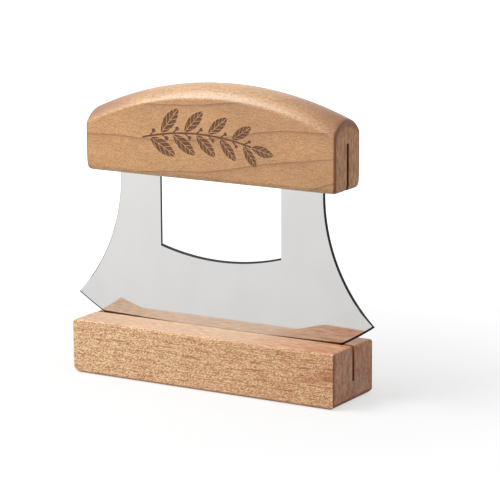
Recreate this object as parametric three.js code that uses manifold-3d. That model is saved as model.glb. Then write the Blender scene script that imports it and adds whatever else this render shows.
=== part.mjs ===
// Ulu knife resting in its wooden stand.
// Millimetres. +X runs along the blade, -Y is the front, +Z is up. The origin is under the middle of
// the blade, on the surface that the stand rests on.

import * as THREE from 'three';
import { mergeVertices } from 'three/addons/utils/BufferGeometryUtils.js';
import Module from 'manifold-3d';

// Stand: one block with a saw kerf along its whole top
const standLength = 148.5;
const standDepth = 38.8;
const standHeight = 27.4;
const standShift = -1; // its middle, from the blade's
const standFrontEdgeRadius = 1.6;
const standBackEdgeRadius = 3.5;
const standLeftTopEdgeRadius = 2.3;
const standLeftBottomEdgeRadius = 4.7;
const standRightTopEdgeRadius = 1.3;
const standRightBottomEdgeRadius = 3.1;
const standCornerRadius = 1;
const standKerfDepth = 17.2;

// Blade: one plate, ground on its front only
const bladeThickness = 1.5;
const bladeSpan = 168.8; // tip to tip
const edgeArcRadius = 148.4;
const edgeShift = -1; // the edge's lowest point, from the blade's middle
const bladeWaist = 50.4; // metal between the cutting edge and the finger gap, at the middle
const tangSpan = 115.3; // outer side to outer side
const fingerGapWidth = 68.4;
const fingerGapHeight = 40.7; // at the middle, up to the handle
const fingerGapArcRadius = 121;
const straightTang = 3.1; // below the handle, before the sides sweep out
const grindWidth = 13.7;
const grindLeft = 0.2; // metal left where the wide grind meets the narrow one
const edgeGrindWidth = 0.6;
const edgeLand = 0.08; // metal left at the cutting edge

// Handle: one piece of wood, sawn up the middle from below
const handleLength = 140.1;
const handleThickness = 24.2;
const handleHeight = 46.6; // underside to the top of the ridge
const ridgeArcRadius = 175.7;
const ridgeShift = 4.6; // the ridge's highest point, from the blade's middle
const crownHeight = 6.3; // ridge to the faces' upper edges
const handleBottomEdgeRadius = 2.8;
const handleEndCornerRadius = 2.5;
const handleArrisRadius = 1;
const handleKerfDepth = 22.7;

// Tangs in the handle, and the glue that holds them
const tangHeadroom = 3.7; // kerf left above a tang
const tangHoleDiameter = 6;
const glueSpread = 4; // past each side of a tang
const glueRecess = 1.2; // up from the handle's underside

// Clearances and working values
const slotPlay = 0.25; // each side of the blade, in the stand's kerf
const glueFilm = 0.25; // each side of a tang, in the handle's kerf
const seatGap = 0.3; // between the cutting edge and the kerf's floor
const glueGap = 0.3; // between a tang's rims and the glue round them
const overrun = 2; // how far a cutting shape passes what it cuts
const arcSteps = 48;
const edgeSteps = 8;
const crownSteps = 14;
const turnSteps = 288;
const holeSteps = 24;

// Places worked out from the sizes above
const knifeHeight = standHeight - standKerfDepth + seatGap;
const undersideHeight = bladeWaist + fingerGapHeight;
const standKerfWidth = bladeThickness + 2 * slotPlay;
const handleKerfWidth = bladeThickness + 2 * glueFilm;
const tangReach = handleKerfDepth - tangHeadroom;
const tangWidth = (tangSpan - fingerGapWidth) / 2;
const tangMiddle = (tangSpan + fingerGapWidth) / 4;

// Axes that lay a drawn outline in a plane of the model: its X, its Y, and the way it is extruded
const frontView = new THREE.Matrix4().makeBasis(
  new THREE.Vector3(1, 0, 0),
  new THREE.Vector3(0, 0, 1),
  new THREE.Vector3(0, -1, 0),
);
const endView = new THREE.Matrix4().makeBasis(
  new THREE.Vector3(0, 1, 0),
  new THREE.Vector3(0, 0, 1),
  new THREE.Vector3(1, 0, 0),
);
const topView = new THREE.Matrix4();

const wasm = await Module();
wasm.setup();

// A closed geometry as a solid that can be joined and cut
function solid(geometry) {
  const bare = geometry.clone();
  bare.deleteAttribute('normal');
  bare.deleteAttribute('uv');
  const merged = mergeVertices(bare);
  return new wasm.Manifold(new wasm.Mesh({
    numProp: 3,
    vertProperties: merged.attributes.position.array,
    triVerts: Uint32Array.from(merged.index.array),
  }));
}

// A finished solid as a named mesh
function piece(name, shape, material) {
  const { vertProperties, triVerts } = shape.getMesh();
  const geometry = new THREE.BufferGeometry();
  geometry.setAttribute('position', new THREE.BufferAttribute(vertProperties, 3));
  geometry.setIndex(new THREE.BufferAttribute(triVerts, 1));
  geometry.computeVertexNormals();
  const mesh = new THREE.Mesh(geometry, material);
  mesh.name = name;
  return mesh;
}

// An outline drawn in one of the views, extruded equally to both sides of its plane
function slab(outline, thickness, view, steps = edgeSteps) {
  const geometry = new THREE.ExtrudeGeometry(outline, {
    depth: thickness,
    bevelEnabled: false,
    curveSegments: steps,
  });
  geometry.translate(0, 0, -thickness / 2);
  return solid(geometry.applyMatrix4(view));
}

// A rectangle whose corners are rounded, from the lower left one anticlockwise
function roundedOutline(left, right, bottom, top, [lowerLeft, lowerRight, upperRight, upperLeft]) {
  const outline = new THREE.Shape();
  outline.absarc(left + lowerLeft, bottom + lowerLeft, lowerLeft, Math.PI, Math.PI * 3 / 2);
  outline.absarc(right - lowerRight, bottom + lowerRight, lowerRight, -Math.PI / 2, 0);
  outline.absarc(right - upperRight, top - upperRight, upperRight, 0, Math.PI / 2);
  outline.absarc(left + upperLeft, top - upperLeft, upperLeft, Math.PI / 2, Math.PI);
  outline.closePath();
  return outline;
}

function box(width, depth, height, x, y, z) {
  return solid(new THREE.BoxGeometry(width, depth, height).translate(x, y, z));
}

function standBlock() {
  const front = standFrontEdgeRadius;
  const back = standBackEdgeRadius;
  const corner = standCornerRadius;
  const endOutline = roundedOutline(
    -standDepth / 2, standDepth / 2, 0, standHeight, [front, back, back, front],
  );
  const frontOutline = roundedOutline(
    -standLength / 2, standLength / 2, 0, standHeight, [
      standLeftBottomEdgeRadius, standRightBottomEdgeRadius,
      standRightTopEdgeRadius, standLeftTopEdgeRadius,
    ],
  );
  const topOutline = roundedOutline(
    -standLength / 2, standLength / 2, -standDepth / 2, standDepth / 2,
    [corner, corner, corner, corner],
  );
  const kerf = box(
    standLength + 2 * overrun, standKerfWidth, standKerfDepth + overrun,
    0, 0, standHeight - standKerfDepth + (standKerfDepth + overrun) / 2,
  );
  return slab(endOutline, standLength, endView)
    .intersect(slab(frontOutline, standDepth, frontView))
    .intersect(slab(topOutline, 2 * standHeight + overrun, topView))
    .subtract(kerf);
}

// The blade seen from the front, with its lowest point at the origin
function bladeOutline() {
  const sweepTop = undersideHeight - straightTang;
  const flare = (bladeSpan - tangSpan) / 2;
  const [left, right] = [-1, 1].map((side) => {
    const edgeTurn = Math.asin((side * bladeSpan / 2 - edgeShift) / edgeArcRadius);
    const fall = sweepTop - edgeArcRadius * (1 - Math.cos(edgeTurn));
    const radius = (flare * flare + fall * fall) / (2 * flare);
    const centre = side * (tangSpan / 2 + radius);
    return { edgeTurn, radius, centre, turn: Math.asin(fall / radius) };
  });
  const gapTurn = Math.asin(fingerGapWidth / 2 / fingerGapArcRadius);
  const tangTop = undersideHeight + tangReach;

  const outline = new THREE.Shape();
  outline.absarc(
    0, bladeWaist + fingerGapArcRadius, fingerGapArcRadius,
    -Math.PI / 2 + gapTurn, -Math.PI / 2 - gapTurn, true,
  );
  outline.lineTo(-fingerGapWidth / 2, tangTop);
  outline.lineTo(-tangSpan / 2, tangTop);
  outline.absarc(left.centre, sweepTop, left.radius, 0, -left.turn, true);
  outline.absarc(
    edgeShift, edgeArcRadius, edgeArcRadius,
    -Math.PI / 2 + left.edgeTurn, -Math.PI / 2 + right.edgeTurn,
  );
  outline.absarc(right.centre, sweepTop, right.radius, Math.PI + right.turn, Math.PI, true);
  outline.lineTo(tangSpan / 2, tangTop);
  outline.lineTo(fingerGapWidth / 2, tangTop);
  outline.closePath();
  return outline;
}

// What the grinding wheel takes off the front: a ring round the centre of the edge's arc
function grindRing() {
  const face = -bladeThickness / 2;
  const grindStart = edgeArcRadius - edgeGrindWidth - grindWidth;
  const profile = [
    new THREE.Vector2(grindStart - overrun * grindWidth / (bladeThickness - grindLeft), face - overrun),
    new THREE.Vector2(edgeArcRadius + overrun, face - overrun),
    new THREE.Vector2(edgeArcRadius + overrun, bladeThickness / 2 - edgeLand),
    new THREE.Vector2(edgeArcRadius, bladeThickness / 2 - edgeLand),
    new THREE.Vector2(edgeArcRadius - edgeGrindWidth, bladeThickness / 2 - grindLeft),
  ];
  const ring = new THREE.LatheGeometry([...profile, profile[0]], turnSteps);
  return solid(ring.translate(edgeShift, 0, edgeArcRadius));
}

// A round bar across a tang's hole, which keys the glue
function tangPlug(diameter, length) {
  return solid(new THREE.CylinderGeometry(diameter / 2, diameter / 2, length, holeSteps));
}

function blade() {
  const plate = slab(bladeOutline(), bladeThickness, frontView, arcSteps);
  const hole = tangPlug(tangHoleDiameter, bladeThickness + overrun);
  const holeHeight = undersideHeight + tangReach / 2;
  return plate
    .subtract(grindRing())
    .subtract(hole.translate([-tangMiddle, 0, holeHeight]))
    .subtract(hole.translate([tangMiddle, 0, holeHeight]));
}

// The handle stands on its underside, at the blade's middle
function handle() {
  const half = handleThickness / 2;
  const crownRadius = (half * half + crownHeight * crownHeight) / (2 * crownHeight);
  const crownTurn = Math.asin(half / crownRadius);
  const crownCentre = ridgeArcRadius - crownRadius;
  const profile = [new THREE.Vector2(0, -half)];
  for (let step = 0; step <= crownSteps; step += 1) {
    const turn = crownTurn * (2 * step / crownSteps - 1);
    profile.push(new THREE.Vector2(
      crownCentre + crownRadius * Math.cos(turn), crownRadius * Math.sin(turn),
    ));
  }
  profile.push(new THREE.Vector2(0, half));
  const crownedDisc = solid(new THREE.LatheGeometry(profile, turnSteps)
    .translate(ridgeShift, 0, handleHeight - ridgeArcRadius));

  const end = handleEndCornerRadius;
  const bottom = handleBottomEdgeRadius;
  const arris = handleArrisRadius;
  const top = handleHeight + overrun;
  const frontOutline = roundedOutline(
    -handleLength / 2, handleLength / 2, 0, top, [end, end, end, end],
  );
  const endOutline = roundedOutline(-half, half, 0, top, [bottom, bottom, bottom, bottom]);
  const topOutline = roundedOutline(
    -handleLength / 2, handleLength / 2, -half, half, [arris, arris, arris, arris],
  );
  const kerf = box(
    handleLength + 2 * overrun, handleKerfWidth, handleKerfDepth + overrun,
    0, 0, handleKerfDepth - (handleKerfDepth + overrun) / 2,
  );
  return crownedDisc
    .intersect(slab(frontOutline, handleThickness + overrun, frontView))
    .intersect(slab(endOutline, handleLength, endView))
    .intersect(slab(topOutline, 2 * top, topView))
    .subtract(kerf);
}

// Glue fills the kerf round one tang, and runs through its hole
function tangBond() {
  const height = handleKerfDepth - glueRecess;
  const bed = box(
    tangWidth + 2 * glueSpread, handleKerfWidth, height, 0, 0, glueRecess + height / 2,
  );
  const tang = box(
    tangWidth + 2 * glueGap, bladeThickness, tangReach + glueGap + overrun,
    0, 0, tangReach + glueGap - (tangReach + glueGap + overrun) / 2,
  );
  const key = tangPlug(tangHoleDiameter - 2 * glueGap, bladeThickness);
  return bed.subtract(tang).add(key.translate([0, 0, tangReach / 2]));
}

const standWood = new THREE.MeshStandardMaterial({ color: 0xb8875f, roughness: 0.6, metalness: 0 });
const handleWood = new THREE.MeshStandardMaterial({ color: 0xc2915f, roughness: 0.5, metalness: 0 });
const mirrorSteel = new THREE.MeshStandardMaterial({ color: 0xd8d8d8, roughness: 0.08, metalness: 1 });
const curedGlue = new THREE.MeshStandardMaterial({ color: 0x5a4030, roughness: 0.4, metalness: 0 });

const stand = new THREE.Group();
stand.position.x = standShift;
stand.add(piece('stand_block', standBlock(), standWood));

const grip = new THREE.Group();
grip.position.z = undersideHeight;
grip.add(piece('handle', handle(), handleWood));
for (const [side, sign] of [['left', -1], ['right', 1]]) {
  const bond = piece(`tang_bond_${side}`, tangBond(), curedGlue);
  bond.position.x = sign * tangMiddle;
  grip.add(bond);
}

const knife = new THREE.Group();
knife.position.z = knifeHeight;
knife.add(piece('blade', blade(), mirrorSteel), grip);

const ulu = new THREE.Group();
ulu.add(stand, knife);

export default ulu;
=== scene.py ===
import math
from contextlib import contextmanager

import bmesh
import bpy
from bpy.props import FloatProperty, FloatVectorProperty, IntProperty, PointerProperty
from bpy.types import Operator, Panel, PropertyGroup
from mathutils import Matrix, Vector


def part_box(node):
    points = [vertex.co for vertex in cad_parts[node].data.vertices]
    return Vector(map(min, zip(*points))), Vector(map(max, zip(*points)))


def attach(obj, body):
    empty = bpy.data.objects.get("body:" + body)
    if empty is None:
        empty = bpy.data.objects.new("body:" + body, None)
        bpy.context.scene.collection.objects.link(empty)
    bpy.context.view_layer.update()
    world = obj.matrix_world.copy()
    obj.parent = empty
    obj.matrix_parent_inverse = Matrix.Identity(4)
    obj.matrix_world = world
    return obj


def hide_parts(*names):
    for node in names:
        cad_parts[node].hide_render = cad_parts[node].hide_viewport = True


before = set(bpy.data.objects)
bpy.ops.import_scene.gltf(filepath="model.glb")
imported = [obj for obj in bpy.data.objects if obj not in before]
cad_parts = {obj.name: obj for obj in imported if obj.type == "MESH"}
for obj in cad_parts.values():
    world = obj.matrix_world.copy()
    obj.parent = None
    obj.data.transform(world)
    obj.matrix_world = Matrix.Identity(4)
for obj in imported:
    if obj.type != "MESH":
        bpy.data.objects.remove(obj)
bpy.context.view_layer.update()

bl_info = {
    "name": "Ulu knife in its stand",
    "version": (1, 0, 0),
    "blender": (4, 5, 0),
    "location": "3D View > Sidebar > Ulu",
    "description": "Models and finishes a crescent kitchen knife that rests in a wooden block",
    "category": "Object",
}

# In metres: a millimetre, and how near two places count as one
MM = 0.001
NEAR = 1e-6


# Properties: the sizes and colours that a user would change


def length(name, millimetres, description):
    """A size in metres, with its default written in millimetres."""
    return FloatProperty(
        name=name, description=description, default=millimetres * MM, min=0, unit="LENGTH"
    )


def number(name, default, description, unit="NONE"):
    """A number that isn't a size."""
    return FloatProperty(name=name, description=description, default=default, unit=unit)


def linear(level):
    """The light that a screen level from 0 to 1 gives."""
    return level / 12.92 if level <= 0.04045 else ((level + 0.055) / 1.055) ** 2.4


def colour(name, red, green, blue, description):
    """A colour, with its default written as a screen's red, green and blue from 0 to 255."""
    light = tuple(linear(level / 255) for level in (red, green, blue))
    settings = {"min": 0, "max": 1, "size": 3, "subtype": "COLOR"}
    return FloatVectorProperty(name=name, description=description, default=light, **settings)


class StandSizes(PropertyGroup):
    front_edge: length("Front edges", 1.6, "Rounding of the long edges at the front")
    back_edge: length("Back edges", 4.2, "Rounding of the long edges at the back")
    left_top_edge: length("Left top edge", 3.3, "Rounding of the left end's top edge")
    left_bottom_edge: length("Left bottom edge", 5.2, "Rounding of the left end's bottom edge")
    right_top_edge: length("Right top edge", 1.3, "Rounding of the right end's top edge")
    right_bottom_edge: length("Right bottom edge", 3.1, "Rounding of the right bottom edge")
    corner_edge: length("Upright edges", 1, "Rounding of the four upright edges")
    kerf_width: length("Kerf width", 2, "Width of the saw kerf that holds the blade")
    kerf_depth: length("Kerf depth", 17.2, "Depth of the saw kerf below the block's top")
    kerf_lip: length("Kerf lip", 0.35, "Wear along the kerf's lips")


class BladeSizes(PropertyGroup):
    edge_arc: length("Edge arc", 148.4, "Radius of the cutting edge, seen from the front")
    edge_shift: length("Edge shift", 1, "The edge's lowest point, left of the blade's middle")
    tang_span: length("Tang span", 115.3, "Outer side of one tang to outer side of the other")
    gap_width: length("Finger gap width", 68.4, "Distance between the tangs' inner sides")
    gap_arc: length("Finger gap arc", 121, "Radius of the finger gap's lower side")
    waist: length("Waist", 50.4, "Metal between the cutting edge and the finger gap")
    straight_tang: length("Straight tang", 3.1, "Tang below the handle before the sides sweep out")
    tang_hole: length("Tang hole", 6, "Hole that keys the glue in each tang")
    grind_width: length("Grind width", 13.7, "Width of the hollow grind on the front")
    edge_grind_width: length("Edge grind width", 0.6, "Width of the narrow grind at the edge")
    grind_left: length("Metal at the grind", 0.2, "Metal left where the two grinds meet")
    edge_land: length("Edge land", 0.08, "Metal left at the cutting edge")
    rim_ease: length("Rim easing", 0.5, "Front corner taken off the swept sides")
    gap_ease: length("Gap easing", 0.8, "Front corner taken off the finger gap's lower side")


class HandleSizes(PropertyGroup):
    ridge_arc: length("Ridge arc", 175.7, "Radius of the ridge, seen from the front")
    ridge_shift: length("Ridge shift", 4.6, "The ridge's highest point, from the blade's middle")
    crown: length("Crown height", 6.3, "Ridge to the upper edges of the flat faces")
    crease_edge: length("Crease edge", 0.6, "Softening where the crown meets the faces")
    bottom_edge: length("Bottom edges", 2.8, "Rounding of the long edges below")
    end_edge: length("End edges", 1, "Rounding round the end faces")
    end_bottom_edge: length("End bottom edges", 2.4, "Rounding of the end faces' lowest edges")
    kerf_width: length("Kerf width", 2, "Width of the saw kerf that takes the tangs")
    kerf_depth: length("Kerf depth", 22.7, "Depth of the saw kerf above the underside")
    kerf_lip: length("Kerf lip", 0.3, "Wear along the kerf's lips")


class SprigSizes(PropertyGroup):
    height: length("Height", 124.5, "The stem's middle, above the table")
    middle: length("Middle", 6, "The stem's middle, left of the blade's middle")
    span: length("Span", 62, "Length of the stem")
    stem_arc: length("Stem arc", 120, "Radius of the stem's gentle arch")
    stem_width: length("Stem width", 0.9, "Width of the burnt stem")
    leaf_length: length("Leaf length", 17, "Length of the longest leaf")
    leaf_width: length("Leaf width", 6.6, "Width of the longest leaf")
    rib_width: length("Rib width", 0.45, "Bare wood left along the middle of each leaf")
    vein_width: length("Vein width", 0.32, "Bare wood left between a leaf's lobes")
    stalk_length: length("Berry stalk", 3.6, "Length of each berry's stalk")
    berry_width: length("Berry width", 2.2, "Diameter of each berry")
    depth: length("Burn depth", 0.2, "How deep the pattern is burnt into the wood")
    leaves: IntProperty(name="Leaves", description="Leaves along the stem", default=9, min=1)
    veins: IntProperty(name="Veins", description="Veins on each side of a leaf", default=4, min=0)


class Finishes(PropertyGroup):
    handle_wood: colour("Handle wood", 212, 161, 108, "Sanded faces of the handle")
    # Painted highlight: the handle crown colour goes on the crown's upward faces in place of the
    # key lamp's sheen there.
    handle_crown_highlight: colour("Handle crown", 218, 208, 180, "Paler sanded top of the handle")
    handle_grain: colour("Handle grain", 188, 133, 78, "Fine dark grain of the handle")
    handle_line: colour("Handle growth line", 140, 90, 52, "Late wood and pricks of the handle")
    handle_end: colour("Handle end grain", 212, 153, 96, "End grain of the handle")
    handle_pore: colour("Handle pores", 166, 102, 54, "Dark pores in the end grain")
    handle_rim: colour("Handle rim", 124, 62, 26, "Scorched corner round the end grain")
    # Painted shade: the handle kerf colour darkens the sawn walls inside the handle's kerf.
    handle_kerf_shade: colour("Handle kerf", 136, 74, 40, "Sawn walls inside the kerf")
    stand_wood: colour("Stand wood", 255, 226, 180, "Pale wood between the flecks")
    stand_fleck: colour("Stand fleck", 181, 108, 60, "Flecks on the sides, stain on the top")
    # On the top, the stand fleck colour darkens the right end in front of the kerf.
    stand_dash: colour("Stand dash", 166, 94, 52, "Longer dark dashes on the sides")
    stand_top: colour("Stand top", 215, 181, 151, "Sanded top of the stand")
    stand_end: colour("Stand end grain", 196, 138, 110, "End grain of the stand")
    stand_smear: colour("Stand end smear", 184, 152, 124, "Sanding dust in the end grain")
    # The stand rim colour is partly the end grain's own dark rim and partly painted shade: a
    # shadow line along the rounded corners, and the contact shadow along the sides' foot.
    stand_rim_and_shade: colour("Stand rim", 132, 66, 36, "Dark corner round the end grain")
    # Painted shade: the stand kerf colour darkens the sawn walls inside the stand's kerf.
    stand_kerf_shade: colour("Stand kerf", 152, 92, 54, "Sawn walls inside the kerf")
    burnt_wood: colour("Burnt wood", 124, 88, 68, "Burnt pattern on the handle")
    steel: colour("Polished steel", 219, 218, 216, "Mirror faces of the blade")
    # Painted reflection: the cut steel colour is near black, standing in for the dark reflections
    # along the rim and the narrow grind.
    cut_steel: colour("Cut steel", 40, 40, 42, "Sheared rim and narrow grind of the blade")
    glue: colour("Cured glue", 126, 96, 66, "Glue in the handle's kerf")
    floor: colour("Floor", 162, 162, 162, "Floor that the stand rests on")


class StudioSettings(PropertyGroup):
    key_power: number("Key lamp", 9, "Power of the soft lamp, front left", "POWER")
    key_size: length("Key lamp size", 700, "Side of the soft lamp")
    fill_power: number("Fill lamp", 3.5, "Power of the low lamp in front", "POWER")
    fill_size: length("Fill lamp size", 800, "Side of the low lamp")
    sky: number("Sky", 0.55, "Level of the light from all round")
    floor_glow: number("Floor glow", 0.6, "Light that the floor shows beside its own")
    lens: number("Lens", 188.51, "Focal length of the camera", "CAMERA")


# Modelling, by the same operators as by hand


def arc_radius(half_chord, rise):
    """Radius of the arc that rises so far over half its chord."""
    return (half_chord ** 2 + rise ** 2) / (2 * rise)


def activate(piece):
    """Make a piece the active one and the only one selected."""
    bpy.ops.object.select_all(action="DESELECT")
    piece.select_set(True)
    bpy.context.view_layer.objects.active = piece


@contextmanager
def editing(piece, mode="VERT"):
    """Work on a piece in edit mode, with nothing selected at first."""
    activate(piece)
    bpy.ops.object.mode_set(mode="EDIT")
    bpy.ops.mesh.select_mode(type=mode)
    bpy.ops.mesh.select_all(action="DESELECT")
    yield
    bpy.ops.object.mode_set(mode="OBJECT")


def pick(kind, test):
    """Select just the vertices, edges or faces that pass a test, in edit mode."""
    mesh = bpy.context.object.data
    bpy.ops.mesh.select_all(action="DESELECT")
    shape = bmesh.from_edit_mesh(mesh)
    for part in getattr(shape, kind):
        if test(part):
            part.select_set(True)
    shape.select_flush_mode()
    bmesh.update_edit_mesh(mesh)


def split_mesh(place, normal, **settings):
    """Split the mesh in edit mode along a plane."""
    bpy.ops.mesh.select_all(action="SELECT")
    bpy.ops.mesh.bisect(plane_co=place, plane_no=normal, **settings)


def faced_outwards(piece):
    """A piece with its faces turned outwards."""
    with editing(piece):
        bpy.ops.mesh.select_all(action="SELECT")
        bpy.ops.mesh.normals_make_consistent(inside=False)
    return piece


def settle(piece, name):
    """Put a new piece's place, turn and scale into its mesh, and name it."""
    activate(piece)
    bpy.ops.object.transform_apply(location=True, rotation=True, scale=True)
    piece.name = name
    piece.data.name = name
    return piece


def block(name, low, high):
    """A box between two corners."""
    low, high = Vector(low), Vector(high)
    bpy.ops.object.select_all(action="DESELECT")
    bpy.ops.mesh.primitive_cube_add(size=1, location=(low + high) / 2, scale=high - low)
    return settle(bpy.context.object, name)


def disc(name, radius, front, back, centre_x, centre_z, steps):
    """A round plate whose axis runs from front to back."""
    bpy.ops.object.select_all(action="DESELECT")
    bpy.ops.mesh.primitive_cylinder_add(
        vertices=steps,
        radius=radius,
        depth=back - front,
        location=(centre_x, (front + back) / 2, centre_z),
        rotation=(math.pi / 2, 0, 0),
    )
    return settle(bpy.context.object, name)


def finish_with(piece, kind, **settings):
    """Add a modifier with its settings and apply it."""
    activate(piece)
    bpy.ops.object.modifier_add(type=kind)
    modifier = piece.modifiers[-1]
    for setting, value in settings.items():
        setattr(modifier, setting, value)
    bpy.ops.object.modifier_apply(modifier=modifier.name)


def combine(piece, other, operation):
    """Cut one shape out of a piece, or keep what they share, and throw the other away."""
    finish_with(
        piece,
        "BOOLEAN",
        operation=operation,
        solver="MANIFOLD",
        material_mode="TRANSFER",
        object=other,
    )
    bpy.data.objects.remove(other)


def cut(piece, *cutters):
    """Take each cutter's shape out of a piece."""
    for cutter in cutters:
        combine(piece, cutter, "DIFFERENCE")


def ease_edges(piece, radius_of, segments):
    """Round each edge by the radius that a function gives for its two ends."""
    points = [vertex.co.copy() for vertex in piece.data.vertices]
    radii = [radius_of(points[a], points[b]) for a, b in (e.vertices for e in piece.data.edges)]
    widest = max(radii)
    weights = piece.data.attributes.new("bevel_weight_edge", "FLOAT", "EDGE")
    weights.data.foreach_set("value", [radius / widest for radius in radii])
    finish_with(
        piece,
        "BEVEL",
        limit_method="WEIGHT",
        width=widest,
        segments=segments,
        use_clamp_overlap=False,
    )
    piece.data.attributes.remove(piece.data.attributes["bevel_weight_edge"])


def eased_block(name, low, high, axis, radius_of):
    """A block whose edges along one axis are rounded, each by its place from the middle."""
    middle = (low + high) / 2
    piece = block(name, low, high)
    ease_edges(
        piece,
        lambda a, b: radius_of(a - middle) if abs(a[axis] - b[axis]) > NEAR else 0,
        segments=8,
    )
    return piece


def saw_kerf(piece, sizes, low, high, opening, floor):
    """Saw a kerf from end to end, from its opening to its floor, and break its sharp lips."""
    half, past = sizes.kerf_width / 2, sizes.kerf_depth
    bottom, top = sorted((floor, opening + (past if opening > floor else -past)))
    cut(piece, block("kerf", (low.x - past, -half, bottom), (high.x + past, half, top)))

    def on_lip(edge):
        return all(
            abs(abs(v.co.y) - half) < NEAR and abs(v.co.z - floor) > NEAR for v in edge.verts
        )

    with editing(piece, "EDGE"):
        pick("edges", on_lip)
        bpy.ops.mesh.bevel(offset=sizes.kerf_lip, segments=2, affect="EDGES", clamp_overlap=True)


def smooth(piece, degrees):
    """Shade rounded stretches smooth, and keep the flat faces flat."""
    activate(piece)
    bpy.ops.object.shade_smooth_by_angle(angle=math.radians(degrees))
    finish_with(piece, "WEIGHTED_NORMAL", keep_sharp=True, weight=100)


def paint(piece, *materials):
    """Give a piece its materials, the first one all over."""
    piece.data.materials.clear()
    for material in materials:
        piece.data.materials.append(material)
    for face in piece.data.polygons:
        face.material_index = 0


# Shader maths, written as formulas


def math_node(operation):
    """A method that puts a Math node on two values."""
    return lambda self, other: self.shader.maths(operation, self, other)


class Value:
    """A socket that Python's operators extend with Math nodes."""

    __add__ = __radd__ = math_node("ADD")
    __sub__ = math_node("SUBTRACT")
    __mul__ = __rmul__ = math_node("MULTIPLY")
    __truediv__ = math_node("DIVIDE")
    __pow__ = math_node("POWER")
    __lt__ = math_node("LESS_THAN")
    __gt__ = math_node("GREATER_THAN")

    def __init__(self, shader, socket):
        self.shader = shader
        self.socket = socket

    def __rsub__(self, other):
        return self.shader.maths("SUBTRACT", other, self)

    def __abs__(self):
        return self.shader.maths("ABSOLUTE", self)

    def smoothstep(self, low, high):
        """0 below low, 1 above high, and a smooth rise between."""
        sockets = {"Value": self, "From Min": low, "From Max": high}
        settings = {"interpolation_type": "SMOOTHSTEP"}
        return self.shader.node("ShaderNodeMapRange", settings, sockets)

    def output(self, name):
        """Another output of the same node."""
        return Value(self.shader, self.socket.node.outputs[name])


# A Mix node's colour sockets by number, because its other sockets share their names
FIRST_COLOUR, SECOND_COLOUR, MIXED_COLOUR = 6, 7, 2


class Shader:
    """A material's or the world's nodes, added by one method."""

    def __init__(self, tree):
        self.tree = tree
        self.tree.nodes.clear()

    def node(self, kind, settings=None, sockets=None, output=0):
        """Add a node: its settings first, then its sockets' values or links."""
        node = self.tree.nodes.new(kind)
        for setting, value in (settings or {}).items():
            setattr(node, setting, value)
        for socket, value in (sockets or {}).items():
            if isinstance(value, Value):
                self.tree.links.new(value.socket, node.inputs[socket])
            else:
                node.inputs[socket].default_value = value
        return Value(self, node.outputs[output]) if node.outputs else None

    def maths(self, operation, *values):
        """A Math node on numbers and values."""
        return self.node("ShaderNodeMath", {"operation": operation}, dict(enumerate(values)))

    def mix(self, factor, first, second):
        """The first colour where the factor is 0, and the second where it is 1."""
        sockets = {"Factor": factor, FIRST_COLOUR: opaque(first), SECOND_COLOUR: opaque(second)}
        return self.node("ShaderNodeMix", {"data_type": "RGBA"}, sockets, output=MIXED_COLOUR)

    def tones(self, factor, shade, first, second):
        """Mix two brightnesses of a colour."""
        return self.mix(factor, [first * c for c in shade], [second * c for c in shade])

    def vector(self, operation, first, second):
        """A Vector Math node on two vectors."""
        return self.node("ShaderNodeVectorMath", {"operation": operation}, {0: first, 1: second})

    def distance(self, vector):
        """How long a vector is."""
        return self.node("ShaderNodeVectorMath", {"operation": "LENGTH"}, {0: vector}, "Value")

    def brighten(self, shade, amount):
        """A colour times a number."""
        sockets = {0: shade, "Scale": amount}
        return self.node("ShaderNodeVectorMath", {"operation": "SCALE"}, sockets)

    def millimetres(self):
        """The place on the piece in millimetres, fixed to the piece."""
        place = self.node("ShaderNodeTexCoord", output="Object")
        return self.vector("MULTIPLY", place, (1 / MM,) * 3)

    def split(self, vector):
        """A vector's three numbers."""
        parts = self.node("ShaderNodeSeparateXYZ", {}, {0: vector})
        return [parts.output(axis) for axis in "XYZ"]

    def noise(self, place, stretch, scale, detail=2, roughness=0.5):
        """Noise about 0.5, whose grains are 1 / (stretch * scale) long each way."""
        stretched = self.vector("MULTIPLY", place, stretch)
        grains = {"Scale": scale, "Detail": detail, "Roughness": roughness}
        return self.node("ShaderNodeTexNoise", {}, {"Vector": stretched, **grains})

    def bump(self, height, distance, strength):
        """A normal from a height between 0 and 1 that stands for a distance in metres."""
        sockets = {"Height": height, "Distance": distance, "Strength": strength}
        return self.node("ShaderNodeBump", {}, sockets)

    def surface(self, sockets):
        """End the material in a Principled shader with these sockets."""
        shader = self.node("ShaderNodeBsdfPrincipled", {}, sockets)
        self.node("ShaderNodeOutputMaterial", {}, {"Surface": shader})


def opaque(value):
    """A plain colour with its alpha. A link is left as it is."""
    return value if isinstance(value, Value) else (*value, 1)


def new_material(name):
    """A material, and the shader that its nodes are added to."""
    material = bpy.data.materials.new(name)
    material.use_nodes = True
    return material, Shader(material.node_tree)


def facing(shader):
    """How far a face looks along each axis, from 0 to 1."""
    normal = shader.node("ShaderNodeTexCoord", output="Normal")
    return [abs(part) for part in shader.split(normal)]


def in_kerf(shader, place, width, low, high):
    """1 on the walls and floor of a saw kerf between two heights, and 0 outside it."""
    _, y, z = shader.split(place)
    beside, beyond = 0.06, 0.1
    between = abs(y) < width / 2 / MM + beside
    return between * (z > low / MM - beyond) * (z < high / MM + beyond)


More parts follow.
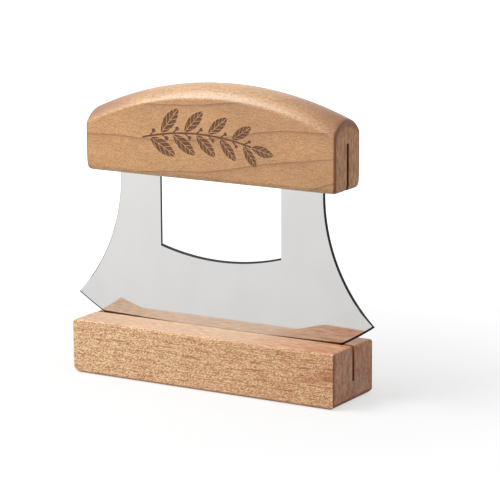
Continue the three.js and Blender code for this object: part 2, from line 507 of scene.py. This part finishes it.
def handle_face(shader, finishes, place, fibres, flecks):
    """Fine grain, dark pricks, thin growth lines that bow along the handle, and a painted
    highlight on the crown.
    """
    x, y, z = shader.split(place)
    slope, bend, dip = 0.139, 0.00125, 7
    spacing, start = 15.4, 11.6
    sway = shader.noise(place, (0.6, 0.6, 1), 0.02, detail=1)
    ripple = shader.noise(place, (0.3, 1, 1), 0.12, detail=2)
    bow = x * slope + x * x * bend
    bow = bow - x.smoothstep(38, 78) * z.smoothstep(112, 124) * dip
    rings = (z - bow + y * 0.3 + sway * 12 + ripple * 2 + start) / spacing
    phase = shader.maths("FRACT", rings)
    line = phase ** 26
    band = phase.smoothstep(0.5, 1) * 0.14

    crown = facing(shader)[2].smoothstep(0.2, 0.5)
    grain = (fibres * 0.45 + flecks * 0.55).smoothstep(0.43, 0.57)
    ticks = shader.noise(place, (0.3, 1, 1), 1.6, detail=1)
    pricks = ticks.smoothstep(0.6, 0.7) * (0.25 + crown * 0.2)
    late = (line * 0.75 + band) * (1 - crown * 0.6)
    far = x.smoothstep(-80, 90) * 0.2
    face = shader.mix(grain, finishes.handle_grain, finishes.handle_wood)
    # Painted highlight: a pale colour on the crown's upward faces stands in for the key lamp's
    # sheen.
    face = shader.mix(crown * (0.08 + 0.2 * grain), face, finishes.handle_crown_highlight)
    face = shader.mix(late + far + pricks, face, finishes.handle_line)
    clouds = shader.noise(place, (0.35, 1, 1), 0.08, detail=2)
    return shader.brighten(face, 1 + (clouds - 0.5) * 0.5)


def end_ridge(sizes, low, high):
    """Height of the ridge at the handle's ends, on average."""
    arc, shift = sizes.ridge_arc, sizes.ridge_shift
    drops = [arc - math.sqrt(arc ** 2 - (x - shift) ** 2) for x in (low.x, high.x)]
    return high.z - sum(drops) / 2


def handle_end(shader, finishes, sizes, place, low, high):
    """Pored end grain, scorched along its sides and its crown."""
    _, y, z = shader.split(place)
    half = (high.y - low.y) / 2 / MM
    crown_arc = arc_radius(half, sizes.crown / MM)
    pores = shader.noise(place, (1, 1, 0.28), 0.95, detail=3, roughness=0.7)
    end = shader.mix(pores.smoothstep(0.38, 0.62), finishes.handle_pore, finishes.handle_end)
    rise = shader.maths("MAXIMUM", z - end_ridge(sizes, low, high) / MM + crown_arc, 0)
    out = shader.maths("SQRT", y * y + rise * rise)
    scorch = shader.maths(
        "MAXIMUM",
        abs(y).smoothstep(half - 1.7, half - 0.2),
        out.smoothstep(crown_arc - 2.2, crown_arc - 0.4),
    )
    return shader.mix(scorch * (0.4 + pores * 0.5), end, finishes.handle_rim)


def handle_wood(finishes, sizes, low, high):
    """Close-grained hardwood with a satin coat, dull and scorched at its ends."""
    material, shader = new_material("handle_wood")
    place = shader.millimetres()
    fibres = shader.noise(place, (0.1, 1, 1), 2, detail=3, roughness=0.7)
    flecks = shader.noise(place, (0.3, 1, 1), 2.8, detail=1)
    along = facing(shader)[0]
    face = handle_face(shader, finishes, place, fibres, flecks)
    end = handle_end(shader, finishes, sizes, place, low, high)
    shade = shader.mix(along.smoothstep(0.6, 0.9), face, end)
    rim = along.smoothstep(0.1, 0.45) * (1 - along.smoothstep(0.9, 1))
    shade = shader.mix(rim * 0.85, shade, finishes.handle_rim)
    # Painted shade: the sawn walls inside the kerf are coloured darker.
    inside = in_kerf(shader, place, sizes.kerf_width, low.z, low.z + sizes.kerf_depth)
    shade = shader.mix(inside, shade, finishes.handle_kerf_shade)
    shader.surface({
        "Base Color": shade,
        "Roughness": 0.3 + 0.16 * flecks,
        "Coat Weight": 0.5 - 0.4 * along.smoothstep(0.1, 0.5),
        "Coat Roughness": 0.26,
        "Normal": shader.bump(flecks * 0.6 + fibres * 0.4, 0.00018, 0.6),
    })
    return material


def stand_side(shader, finishes, place, grains, dashes):
    """Dense pale flecks, rows of dark dashes, a long knot at the right, a darkening towards the
    right that is partly painted shade, and a dark foot that is partly painted contact shadow.
    """
    x, y, z = shader.split(place)
    row_height = 3.7
    knot_middle, knot_height, knot_lean = 60, 16, 0.12
    swirl = shader.noise(place, (0.5, 1, 1), 0.03, detail=1)
    rows = shader.maths("FRACT", (z - x * 0.02 + y * 0.3 + swirl * 16) / row_height)
    marks = dashes.smoothstep(0.48, 0.62) * (0.4 + rows * rows * 0.6)
    # Darker towards the right: partly painted shade where the key lamp's light falls off.
    far = x.smoothstep(-90, 110) * 0.27
    off_knot = abs(z - knot_height + swirl * 2 - (x - knot_middle) * knot_lean)
    knot = x.smoothstep(44, 76) * (1 - off_knot.smoothstep(1, 5))
    pale = grains.smoothstep(0.35, 0.61)
    side = shader.mix(pale, finishes.stand_fleck, finishes.stand_wood)
    side = shader.mix(marks * 0.75 + far + knot * 0.35, side, finishes.stand_dash)
    # The dark foot is partly darker wood and partly painted contact shadow where the block meets
    # the floor.
    foot = 1 - z.smoothstep(0.2, 1.5)
    return shader.mix(foot * 0.7, side, finishes.stand_rim_and_shade)


def stand_top(shader, finishes, place, dashes, fine):
    """Smooth sanded wood with faint streaks, darker and streaky at the right in front of the kerf,
    with painted light behind the kerf at the right, where the blade's shadow falls.
    """
    x, y, _ = shader.split(place)
    streaks = dashes.smoothstep(0.42, 0.6)
    behind = y.smoothstep(0, 3)
    # Darker and streaky towards the right in front of the kerf. Behind the kerf this is held back,
    # as painted light where the blade shadows the top.
    right_darkening = x.smoothstep(8, 64) * (0.45 + streaks * 0.55) * (1 - behind * 0.7)
    scratches = dashes.smoothstep(0.58, 0.7)
    marks = right_darkening * 0.8 + streaks * 0.12 + scratches * 0.4
    top = shader.mix(marks, finishes.stand_top, finishes.stand_fleck)
    pale_middle = x.smoothstep(-75, -20) * 0.07
    # Painted light: the strip behind the kerf at the right is brightened where the blade's shadow
    # falls.
    painted_light_strip = behind * x.smoothstep(10, 60) * 0.16
    return shader.brighten(top, 0.95 + pale_middle + painted_light_strip + (fine - 0.5) * 1.8)


def stand_end(shader, finishes, place, low, high):
    """Pitted end grain with sanding dust in it, darker along its sides and foot."""
    _, y, z = shader.split(place)
    half, middle = (high.y - low.y) / 2 / MM, (high.z + low.z) / 2 / MM
    smears = shader.noise(place, (1, 0.55, 0.3), 0.4, detail=4, roughness=0.65)
    pits = shader.noise(place, (1, 1, 0.7), 0.5, detail=4, roughness=0.75)
    dusty = smears.smoothstep(0.46, 0.62) * 0.7
    end = shader.mix(dusty, finishes.stand_end, finishes.stand_smear)
    end = shader.brighten(end, 1.02 + (smears - 0.5) * 1.3 + (pits - 0.5) * 2.1)
    border = shader.maths(
        "MAXIMUM",
        abs(y).smoothstep(half - 2.6, half - 0.6),
        (middle - z).smoothstep(middle - 3, middle - 0.6) * 0.6,
    )
    return shader.mix(border * (0.25 + pits * 0.6), end, finishes.stand_rim_and_shade)


def stand_wood(finishes, sizes, low, high):
    """Paler hardwood, flecked on its sides, smooth on its top and dull at its ends."""
    material, shader = new_material("stand_wood")
    place = shader.millimetres()
    height = shader.split(place)[2]
    specks = shader.noise(place, (0.7, 1, 1), 3.2, detail=0)
    grains = shader.noise(place, (0.36, 1, 1), 2.8, detail=0) * 0.5 + specks * 0.5
    dashes = shader.noise(place, (0.045, 1, 1), 1.7, detail=2, roughness=0.6)
    fine = shader.noise(place, (0.1, 1, 1), 1.9, detail=3, roughness=0.6)
    along, across, _ = facing(shader)
    side = stand_side(shader, finishes, place, grains, dashes)
    top = stand_top(shader, finishes, place, dashes, fine)
    end = stand_end(shader, finishes, place, low, high)
    face = shader.mix(across.smoothstep(0.45, 0.95), top, side)
    shade = shader.mix(along.smoothstep(0.6, 0.9), face, end)
    # A dark line along the rounded corners round the end grain, fainter near the top: partly the
    # end grain's own dark rim, partly a painted shadow line.
    rim = along.smoothstep(0.55, 0.8) * (1 - along.smoothstep(0.97, 1))
    lower = 1 - height.smoothstep(high.z / MM - 2.5, high.z / MM - 0.8) * 0.85
    shade = shader.mix(rim * lower * 0.75, shade, finishes.stand_rim_and_shade)
    # Painted shade: the sawn walls inside the kerf are coloured darker.
    inside = in_kerf(shader, place, sizes.kerf_width, high.z - sizes.kerf_depth, high.z)
    shade = shader.mix(inside, shade, finishes.stand_kerf_shade)
    shader.surface({
        "Base Color": shade,
        "Roughness": 0.5 + 0.15 * grains,
        "Specular IOR Level": 0.35,
        "Normal": shader.bump(grains * 0.7 + fine * 0.3, 0.00022, 0.6),
    })
    return material


def burnt_wood(finishes):
    """Wood browned by a burning tool, which leaves fine rows along the grain."""
    material, shader = new_material("burnt_wood")
    place = shader.millimetres()
    rows = shader.noise(place, (0.06, 1, 1), 4.5, detail=2, roughness=0.6)
    patches = shader.noise(place, (0.5, 1, 1), 0.3, detail=2)
    pale = rows.smoothstep(0.35, 0.7) * 0.55 + patches * 0.3
    shader.surface({
        "Base Color": shader.tones(pale, finishes.burnt_wood, 0.7, 1.45),
        "Roughness": 0.75 + 0.1 * rows,
        "Normal": shader.bump(rows, 0.00008, 0.6),
        "Specular IOR Level": 0.2,
    })
    return material


def polished_steel(finishes, sizes, edge, sweep, back):
    """Mirror-polished steel, painted dark along the edge and along the sweep beside the grind to
    stand in for dark reflections there, and painted a shade darker towards the right.

    The edge and the sweep are circles: the centre's X and Z, and the radius.
    """
    material, shader = new_material("polished_steel")
    place = shader.millimetres()
    x, y, _ = shader.split(place)

    def past(circle):
        """How far a place lies outside a circle in the front's plane, in millimetres."""
        centre_x, centre_z, radius = (size / MM for size in circle)
        off = shader.vector("SUBTRACT", place, (centre_x, 0, centre_z))
        return shader.distance(shader.vector("MULTIPLY", off, (1, 0, 1))) - radius

    dark_rim_width, dark_rim_fade, edge_band_widening = 0.55, 0.3, 0.4
    grind_width = sizes.grind_width / MM
    inward = 0 - past(edge)
    ground = 1 - inward.smoothstep(0.7 * grind_width, grind_width)
    # Painted reflection: a dark band beside the swept sides, in the grind, stands in for the dark
    # reflections along their eased corners.
    painted_dark_rim = 1 - past(sweep).smoothstep(dark_rim_width, dark_rim_width + dark_rim_fade)
    # Painted reflection: a dark band along the cutting edge, over the narrow grind and wider
    # towards the right.
    dark_edge_band = sizes.edge_grind_width / MM + x.smoothstep(10, 75) * edge_band_widening
    in_front = y < (back - sizes.edge_land / 2) / MM
    dark = shader.maths("MAXIMUM", painted_dark_rim * ground, inward < dark_edge_band) * in_front
    haze = shader.noise(place, (1, 1, 0.6), 0.05, detail=2)
    trace = shader.noise(place, (0.1, 1, 1), 2.5, detail=2)
    # The haze patches are the steel's own; the darkening towards the right is painted shade in the
    # reflection.
    dull = haze.smoothstep(0.35, 0.65) * 0.4 + x.smoothstep(-60, 60) * 0.6
    shine = shader.tones(dull, finishes.steel, 1, 0.93)
    shader.surface({
        "Base Color": shader.mix(dark, shine, finishes.cut_steel),
        "Metallic": 1.0,
        "Roughness": 0.045 + 0.03 * haze + 0.015 * trace + 0.35 * dark,
    })
    return material


def cut_steel(finishes):
    """The sheared rim and the narrow grind, duller than the faces and painted dark to stand in for
    the dark reflections along them.
    """
    material, shader = new_material("cut_steel")
    place = shader.millimetres()
    strokes = shader.noise(place, (1, 0.2, 1), 4, detail=3)
    bright = strokes.smoothstep(0.35, 0.7)
    shader.surface({
        "Base Color": shader.tones(bright, finishes.cut_steel, 0.8, 1.5),
        "Metallic": 1.0,
        "Roughness": 0.34 + 0.12 * strokes,
        "Normal": shader.bump(strokes, 0.00002, 0.4),
    })
    return material


def cured_glue(finishes):
    """Ambery cured glue, a little cloudy."""
    material, shader = new_material("cured_glue")
    place = shader.millimetres()
    clouds = shader.noise(place, (1, 1, 1), 0.4, detail=3)
    shader.surface({
        "Base Color": shader.tones(clouds, finishes.glue, 0.7, 1.3),
        "Roughness": 0.28 + 0.15 * clouds,
        "Normal": shader.bump(clouds, 0.0001, 0.5),
        "Specular IOR Level": 0.5,
    })
    return material


# Operators: one for each piece, and one for the stage


class ULU_OT_stand(Operator):
    """Model the wooden block, with its eased edges and its kerf"""

    bl_idname = "ulu.stand"
    bl_label = "Stand block"
    bl_options = {"UNDO"}

    def execute(self, context):
        sizes = context.scene.ulu_stand
        low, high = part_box("stand_block")

        def end_radius(place):
            if place.x < 0:
                return sizes.left_top_edge if place.z > 0 else sizes.left_bottom_edge
            return sizes.right_top_edge if place.z > 0 else sizes.right_bottom_edge

        # Each block is eased along one axis, and the stand is what the three share
        piece, *outlines = (
            eased_block("stand_body", low, high, axis, radius_of)
            for axis, radius_of in enumerate((
                lambda place: sizes.front_edge if place.y < 0 else sizes.back_edge,
                end_radius,
                lambda place: sizes.corner_edge,
            ))
        )
        for outline in outlines:
            combine(piece, outline, "INTERSECT")
        saw_kerf(piece, sizes, low, high, high.z, high.z - sizes.kerf_depth)
        smooth(piece, degrees=30)
        paint(piece, stand_wood(context.scene.ulu_finishes, sizes, low, high))
        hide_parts("stand_block")
        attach(piece, "stand")
        return {"FINISHED"}


def hollow_steps(sizes, thickness):
    """Widths and rises of the rings of the grind, from the cutting edge inwards."""
    rings, blend_share, flattening_share = 12, 0.1, 0.3
    leans = []
    for ring in range(rings):
        outer = 1 - (ring + 0.5) / rings
        leans.append((1 - flattening_share * outer) * min(1, outer / blend_share))
    rise = (thickness - sizes.grind_left) / sum(leans)
    return [(sizes.grind_width / rings, rise * lean) for lean in leans]


def widen_front(cutter, start, widen):
    """Widen a cutter in front of a plane, so that it also takes off the plate's front corner."""
    with editing(cutter):
        split_mesh((0, start, 0), (0, 1, 0))
        pick("verts", lambda vertex: vertex.co.y < start - NEAR)
        widen()
    return cutter


class ULU_OT_blade(Operator):
    """Grind a round plate, and cut the blade's sides, tangs and finger gap out of it"""

    bl_idname = "ulu.blade"
    bl_label = "Blade"
    bl_options = {"UNDO"}

    def execute(self, context):
        sizes = context.scene.ulu_blade
        low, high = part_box("blade")
        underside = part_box("handle")[0].z
        thickness = past = high.y - low.y
        arc_middle, arc_centre = -sizes.edge_shift, low.z + sizes.edge_arc
        edge = arc_middle, arc_centre, sizes.edge_arc
        ground_from = high.y - sizes.edge_land
        piece = disc(
            "blade_plate", sizes.edge_arc, ground_from, high.y, arc_middle, arc_centre, steps=360
        )
        with editing(piece, "FACE"):
            pick("faces", lambda face: face.normal.y < -0.5)
            grinds = [(sizes.edge_grind_width, sizes.grind_left - sizes.edge_land)]
            for width, rise in grinds + hollow_steps(sizes, thickness):
                bpy.ops.mesh.inset(thickness=width, depth=rise, use_even_offset=True)

        front, back = low.y - past, high.y + past
        far = sizes.edge_arc + past
        gap_half, tang_half = sizes.gap_width / 2, sizes.tang_span / 2
        gap_centre = low.z + sizes.waist + sizes.gap_arc
        sweep_top = underside - sizes.straight_tang
        hole_height = (underside + high.z) / 2

        def swept(side):
            """The arc from a tang out to a tip: its centre's X and Z, and its radius."""
            tip = arc_centre - math.sqrt(sizes.edge_arc ** 2 - (side * high.x - arc_middle) ** 2)
            radius = arc_radius(sweep_top - tip, high.x - tang_half)
            return side * (tang_half + radius), sweep_top, radius

        def eased_disc(name, radius, x, z, ease):
            """A round cutter that also takes off the plate's front corner."""
            wider = (radius + past + ease) / radius
            plate = disc(name, radius, front, back, x, z, steps=360)
            return widen_front(plate, low.y + ease, lambda: (
                bpy.ops.transform.resize(value=(wider, 1, wider), center_override=(x, 0, z))
            ))

        gap = eased_disc("gap", sizes.gap_arc, 0, gap_centre, sizes.gap_ease)
        with editing(gap):
            for side in (-1, 1):
                split_mesh((side * gap_half, 0, 0), (side, 0, 0), clear_outer=True, use_fill=True)
        cut(piece, gap, block("top", (-far, front, high.z), (far, back, arc_centre + far)))
        for side in (-1, 1):
            centre, height, radius = swept(side)
            hole = side * (tang_half + gap_half) / 2
            left, right = sorted((side * tang_half, side * far))
            beside = block("side", (left, front, height), (right, back, high.z + past))
            widen_front(beside, low.y + sizes.rim_ease, lambda: (
                bpy.ops.transform.translate(value=(-side * (past + sizes.rim_ease), 0, 0))
            ))
            cut(
                piece,
                eased_disc("sweep", radius, centre, height, sizes.rim_ease),
                beside,
                disc("hole", sizes.tang_hole / 2, front, back, hole, hole_height, steps=48),
            )
        smooth(piece, degrees=4)
        finishes = context.scene.ulu_finishes
        mirror = polished_steel(finishes, sizes, edge, swept(1), high.y)
        paint(piece, mirror, cut_steel(finishes))
        ground = sizes.edge_arc - sizes.edge_grind_width
        for face in piece.data.polygons:
            out = math.hypot(face.center.x - arc_middle, face.center.z - arc_centre)
            if abs(face.normal.y) < 0.9 or (out > ground and face.normal.y < 0):
                face.material_index = 1
        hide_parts("blade")
        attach(piece, "knife")
        return {"FINISHED"}


def loft_handle(sizes, low, high):
    """Draw the handle's left end, and draw it out to the right under the ridge's arc."""
    half = (high.y - low.y) / 2
    crown_arc = arc_radius(half, sizes.crown)
    crown_turn = math.asin(half / crown_arc)
    ridge_centre = high.z - sizes.ridge_arc
    foot = low.z + 2 * sizes.bottom_edge
    stations = 56

    def height(x, arc):
        return ridge_centre + math.sqrt(arc ** 2 - (x - sizes.ridge_shift) ** 2)

    def ridge(x):
        return height(x, sizes.ridge_arc)

    def crown(x):
        return ridge(x) - height(x, sizes.ridge_arc - sizes.crown)

    bpy.ops.object.select_all(action="DESELECT")
    bpy.ops.mesh.primitive_plane_add(size=half, location=(low.x, -half, ridge(0) - sizes.crown))
    piece = settle(bpy.context.object, "handle_body")
    with editing(piece):
        bpy.ops.mesh.select_all(action="SELECT")
        bpy.ops.mesh.merge(type="CENTER")
        bpy.ops.mesh.spin(
            steps=24, angle=2 * crown_turn, center=(low.x, 0, ridge(0) - crown_arc), axis=(1, 0, 0)
        )
        pick("verts", lambda vertex: abs(vertex.co.y) > half - NEAR)
        down = {"value": (0, 0, low.z - ridge(0) + sizes.crown)}
        bpy.ops.mesh.extrude_vertices_move(TRANSFORM_OT_translate=down)
        bpy.ops.mesh.edge_face_add()
        bpy.ops.mesh.select_all(action="SELECT")
        bpy.ops.mesh.edge_face_add()
        pick("verts", lambda vertex: vertex.co.z < foot)
        bpy.ops.mesh.bevel(affect="VERTICES", offset=sizes.bottom_edge, segments=7)
        pick("verts", lambda v: abs(v.co.y) > half - NEAR and v.co.z > foot)
        bpy.ops.mesh.bevel(affect="VERTICES", offset=sizes.crease_edge, segments=3)

        top, swell, previous = ridge(0), sizes.crown, low.x
        for station in range(stations + 1):
            x = low.x + (high.x - low.x) * station / stations
            if station:
                pick("verts", lambda vertex: vertex.co.x > previous - NEAR)
                move = {"value": (x - previous, 0, 0)}
                bpy.ops.mesh.extrude_region_move(TRANSFORM_OT_translate=move)
            pick("verts", lambda v: v.co.x > x - NEAR and v.co.z > foot)
            bpy.ops.transform.translate(value=(0, 0, ridge(x) - top))
            bpy.ops.transform.resize(
                value=(1, 1, crown(x) / swell), center_override=(x, 0, ridge(x))
            )
            top, swell, previous = ridge(x), crown(x), x
    return faced_outwards(piece)


def copy_to(template, x, z, turn=0, scale=(1, 1, 1)):
    """A copy with its own mesh, scaled, turned in the front's plane and moved there."""
    piece = template.copy()
    piece.data = template.data.copy()
    bpy.context.scene.collection.objects.link(piece)
    place = Matrix.Translation((x, 0, z)) @ Matrix.Rotation(-turn, 4, "Y")
    piece.matrix_world = place @ Matrix.Diagonal((*scale, 1))
    return settle(piece, template.name)


def joined(name, pieces):
    """Several pieces as one, with their faces outwards."""
    activate(pieces[0])
    for piece in pieces:
        piece.select_set(True)
    bpy.ops.object.join()
    bpy.context.object.name = name
    return faced_outwards(bpy.context.object)


def half_leaf(sizes, front, back):
    """The upper half of a leaf along X from the origin, with veins left bare between its lobes."""
    vein_lean, first_vein_share = math.radians(38), 0.6
    sag = sizes.leaf_width / 2
    arc = arc_radius(sizes.leaf_length / 2, sag)
    piece = disc("half_leaf", arc, front, back, sizes.leaf_length / 2, sag - arc, steps=120)
    with editing(piece):
        split_mesh((0, 0, sizes.rib_width / 2), (0, 0, 1), clear_inner=True, use_fill=True)
    vein_half = sizes.vein_width / 2
    vein = block(
        "vein", (0, 2 * front - back, -vein_half), (sizes.leaf_width, 2 * back - front, vein_half)
    )
    for number in range(sizes.veins):
        x = sizes.leaf_length * (number + first_vein_share) / (sizes.veins + 1)
        cut(piece, copy_to(vein, x, 0, vein_lean))
    bpy.data.objects.remove(vein)
    return piece


def sprig_cutters(sizes, front):
    """The burnt pattern: an arched stem with leaves and berries on alternate sides."""
    out, back = front - sizes.depth, front + sizes.depth
    stem_centre = sizes.height - sizes.stem_arc
    half_turn = sizes.span / 2 / sizes.stem_arc
    leaf_lean, stalk_lean = math.radians(42), math.radians(38)
    leafy_share, shrink_share, end_leaf_share = 0.97, 0.3, 0.75
    leaf_foot_share, stalk_share = 0.7, 0.7

    def on_stem(turn, off=0):
        """X and Z of a place on the stem, or so far above its middle line."""
        reach = sizes.stem_arc + off
        return reach * math.sin(turn) - sizes.middle, stem_centre + reach * math.cos(turn)

    x, z = on_stem(-half_turn)
    bpy.ops.object.select_all(action="DESELECT")
    bpy.ops.mesh.primitive_plane_add(
        size=1, location=(x, front, z), rotation=(0, -half_turn - math.pi / 2, 0)
    )
    bpy.context.object.scale = (sizes.stem_width, back - out, 1)
    stem = settle(bpy.context.object, "stem")
    with editing(stem):
        bpy.ops.mesh.select_all(action="SELECT")
        middle = (-sizes.middle, front, stem_centre)
        bpy.ops.mesh.spin(steps=40, angle=-2 * half_turn, center=middle, axis=(0, 1, 0))

    half = half_leaf(sizes, out, back)
    stalk_half = sizes.stem_width * stalk_share / 2
    stalk = block("stalk", (0, out, -stalk_half), (sizes.stalk_length, back, stalk_half))
    berry = disc("berry", sizes.berry_width / 2, out, back, 0, 0, steps=28)
    leaves, stalks, berries = [], [stem], []
    for number in range(sizes.leaves):
        share = (number + 0.5) / sizes.leaves
        turn = half_turn * (2 * share - 1) * leafy_share
        side = 1 if number % 2 else -1
        size = 1 - shrink_share * share
        x, z = on_stem(turn, side * sizes.stem_width * leaf_foot_share)
        for mirror in (-1, 1):
            leaves.append(copy_to(half, x, z, side * leaf_lean - turn, (size, 1, mirror * size)))
        x, z = on_stem(turn)
        heading = -side * stalk_lean - turn
        stalks.append(copy_to(stalk, x, z, heading))
        x += sizes.stalk_length * math.cos(heading)
        z += sizes.stalk_length * math.sin(heading)
        berries.append(copy_to(berry, x, z, 0, (size, 1, size)))
    x, z = on_stem(half_turn)
    size = end_leaf_share
    for mirror in (-1, 1):
        leaves.append(copy_to(half, x, z, -half_turn, (size, 1, mirror * size)))
    for template in (half, stalk, berry):
        bpy.data.objects.remove(template)
    return joined("leaves", leaves), joined("berries", berries), *map(faced_outwards, stalks)


class ULU_OT_handle(Operator):
    """Model the crowned handle, saw its kerf, and burn the leaf pattern into its front"""

    bl_idname = "ulu.handle"
    bl_label = "Handle"
    bl_options = {"UNDO"}

    def execute(self, context):
        sizes = context.scene.ulu_handle
        low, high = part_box("handle")
        piece = loft_handle(sizes, low, high)
        base = low.z + 2 * sizes.bottom_edge

        def radius_of(a, b):
            """The rounding of an edge of an end face, wider towards its foot."""
            at_end = abs(a.x - b.x) < NEAR and min(abs(a.x - low.x), abs(a.x - high.x)) < NEAR
            if not at_end:
                return 0
            share = min(1, max(0, (base - (a.z + b.z) / 2) / (base - low.z)))
            return sizes.end_edge + (sizes.end_bottom_edge - sizes.end_edge) * share

        ease_edges(piece, radius_of, segments=4)
        saw_kerf(piece, sizes, low, high, low.z, low.z + sizes.kerf_depth)
        finishes = context.scene.ulu_finishes
        wood, burnt = handle_wood(finishes, sizes, low, high), burnt_wood(finishes)
        paint(piece, wood, burnt)
        cutters = sprig_cutters(context.scene.ulu_sprig, low.y)
        for cutter in cutters:
            paint(cutter, burnt)
        cut(piece, *cutters)
        smooth(piece, degrees=30)
        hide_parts("handle")
        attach(piece, "knife")
        return {"FINISHED"}


class ULU_OT_glue(Operator):
    """Finish the cured glue that holds the tangs in the handle"""

    bl_idname = "ulu.glue"
    bl_label = "Cured glue"
    bl_options = {"UNDO"}

    def execute(self, context):
        material = cured_glue(context.scene.ulu_finishes)
        for node in ("tang_bond_left", "tang_bond_right"):
            paint(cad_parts[node], material)
        return {"FINISHED"}


class ULU_OT_stage(Operator):
    """Set the floor, the lamps, the sky and the camera"""

    bl_idname = "ulu.stage"
    bl_label = "Stage"
    bl_options = {"UNDO"}

    def execute(self, context):
        scene = context.scene
        studio = scene.ulu_studio
        scene.view_settings.view_transform = "Standard"
        set_floor(scene.ulu_finishes, studio.floor_glow)
        set_sky(studio)
        set_lamp("key_lamp", (-0.55, -0.4, 0.94), studio.key_size, studio.key_power)
        set_lamp("fill_lamp", (-0.35, -1.05, 0.28), studio.fill_size, studio.fill_power)
        set_camera(studio)
        return {"FINISHED"}


def seen(shader):
    """1 where the camera looks straight, and 1 where it looks by a mirror or through glass."""
    path = shader.node("ShaderNodeLightPath")
    mirrored = path.output("Is Glossy Ray")
    through = path.output("Is Transmission Ray")
    return path.output("Is Camera Ray"), shader.maths("MAXIMUM", mirrored, through)


def set_floor(finishes, glow):
    """A plain white floor, which keeps the knife's soft shadow, with painted light that makes it
    glow more away from the knife.
    """
    side, drop = 12, 0.1 * MM
    near, far, far_glow = 0.09, 0.6, 0.6
    speckle_scale, speckle_depth, mirror_drop = 900, 0.02, 0.05
    bpy.ops.object.select_all(action="DESELECT")
    bpy.ops.mesh.primitive_plane_add(size=side, location=(0, 0, -drop))
    floor = settle(bpy.context.object, "floor")
    material, shader = new_material("floor")
    place = shader.node("ShaderNodeTexCoord", output="Object")
    speckle = shader.noise(place, (1, 1, 1), speckle_scale, detail=2)
    paper = shader.mix(speckle_depth * speckle, finishes.floor, (0, 0, 0))
    diffuse = shader.node("ShaderNodeBsdfDiffuse", {}, {"Color": paper})
    # Painted light: the floor glows more away from the knife, so that the far floor stays white
    # where the lamps fall off.
    fade = shader.distance(place).smoothstep(near, far)
    straight, mirrored = seen(shader)
    shown = straight * (glow + fade * far_glow) + mirrored * (glow - mirror_drop)
    light = shader.node("ShaderNodeEmission", {}, {"Strength": shown})
    both = shader.node("ShaderNodeAddShader", {}, {0: diffuse, 1: light})
    shader.node("ShaderNodeOutputMaterial", {}, {"Surface": both})
    paint(floor, material)


def set_sky(studio):
    """White to the camera and in the steel, and a plainer level as light on the knife."""
    world = bpy.data.worlds.new("studio_sky")
    world.use_nodes = True
    shader = Shader(world.node_tree)
    straight, mirrored = seen(shader)
    shown = shader.maths("MAXIMUM", straight, mirrored)
    lit = shader.maths("MAXIMUM", shown, studio.sky)
    sky = shader.node("ShaderNodeBackground", {}, {"Color": (1, 1, 1, 1), "Strength": lit})
    shader.node("ShaderNodeOutputWorld", {}, {"Surface": sky})
    bpy.context.scene.world = world


def set_lamp(name, place, size, power):
    """A large square lamp that looks at the knife."""
    knife_middle = Vector((0, 0, 0.07))
    aim = (knife_middle - Vector(place)).to_track_quat("-Z", "Y")
    bpy.ops.object.select_all(action="DESELECT")
    bpy.ops.object.light_add(type="AREA", location=place, rotation=aim.to_euler())
    lamp = bpy.context.object
    lamp.name = name
    lamp.data.size = size
    lamp.data.energy = power


def set_camera(studio):
    """The camera that the knife was photographed from, about 1.3 m away."""
    place = (0.65364, -1.05648, 0.33138)
    right = Vector((0.856938, 0.515381, -0.006233))
    up = Vector((-0.102406, 0.182099, 0.977933))
    back = right.cross(up)
    turn = Matrix((right, up, back)).transposed().to_4x4()
    bpy.ops.object.select_all(action="DESELECT")
    bpy.ops.object.camera_add()
    camera = bpy.context.object
    camera.name = "camera"
    camera.matrix_world = Matrix.Translation(place) @ turn
    camera.data.lens = studio.lens
    camera.data.sensor_width = 36
    camera.data.clip_start = 0.05
    camera.data.clip_end = 50
    bpy.context.scene.camera = camera


class ULU_PT_panel(Panel):
    """The knife's pieces, in the order that they are made"""

    bl_idname = "ULU_PT_panel"
    bl_label = "Ulu knife"
    bl_space_type = "VIEW_3D"
    bl_region_type = "UI"
    bl_category = "Ulu"

    def draw(self, context):
        for operator in OPERATORS:
            self.layout.operator(operator.bl_idname)
        for group, kind in GROUPS.items():
            settings = getattr(context.scene, group)
            box = self.layout.box()
            for name in kind.__annotations__:
                box.prop(settings, name)


GROUPS = {
    "ulu_stand": StandSizes,
    "ulu_blade": BladeSizes,
    "ulu_handle": HandleSizes,
    "ulu_sprig": SprigSizes,
    "ulu_finishes": Finishes,
    "ulu_studio": StudioSettings,
}
OPERATORS = (ULU_OT_stage, ULU_OT_stand, ULU_OT_blade, ULU_OT_handle, ULU_OT_glue)
CLASSES = (*GROUPS.values(), *OPERATORS, ULU_PT_panel)


def register():
    for cls in CLASSES:
        bpy.utils.register_class(cls)
    for name, group in GROUPS.items():
        setattr(bpy.types.Scene, name, PointerProperty(type=group))


def unregister():
    for name in GROUPS:
        delattr(bpy.types.Scene, name)
    for cls in reversed(CLASSES):
        bpy.utils.unregister_class(cls)


def main():
    register()
    bpy.ops.ulu.stage()
    bpy.ops.ulu.stand()
    bpy.ops.ulu.blade()
    bpy.ops.ulu.handle()
    bpy.ops.ulu.glue()


if __name__ == "__main__":
    main()
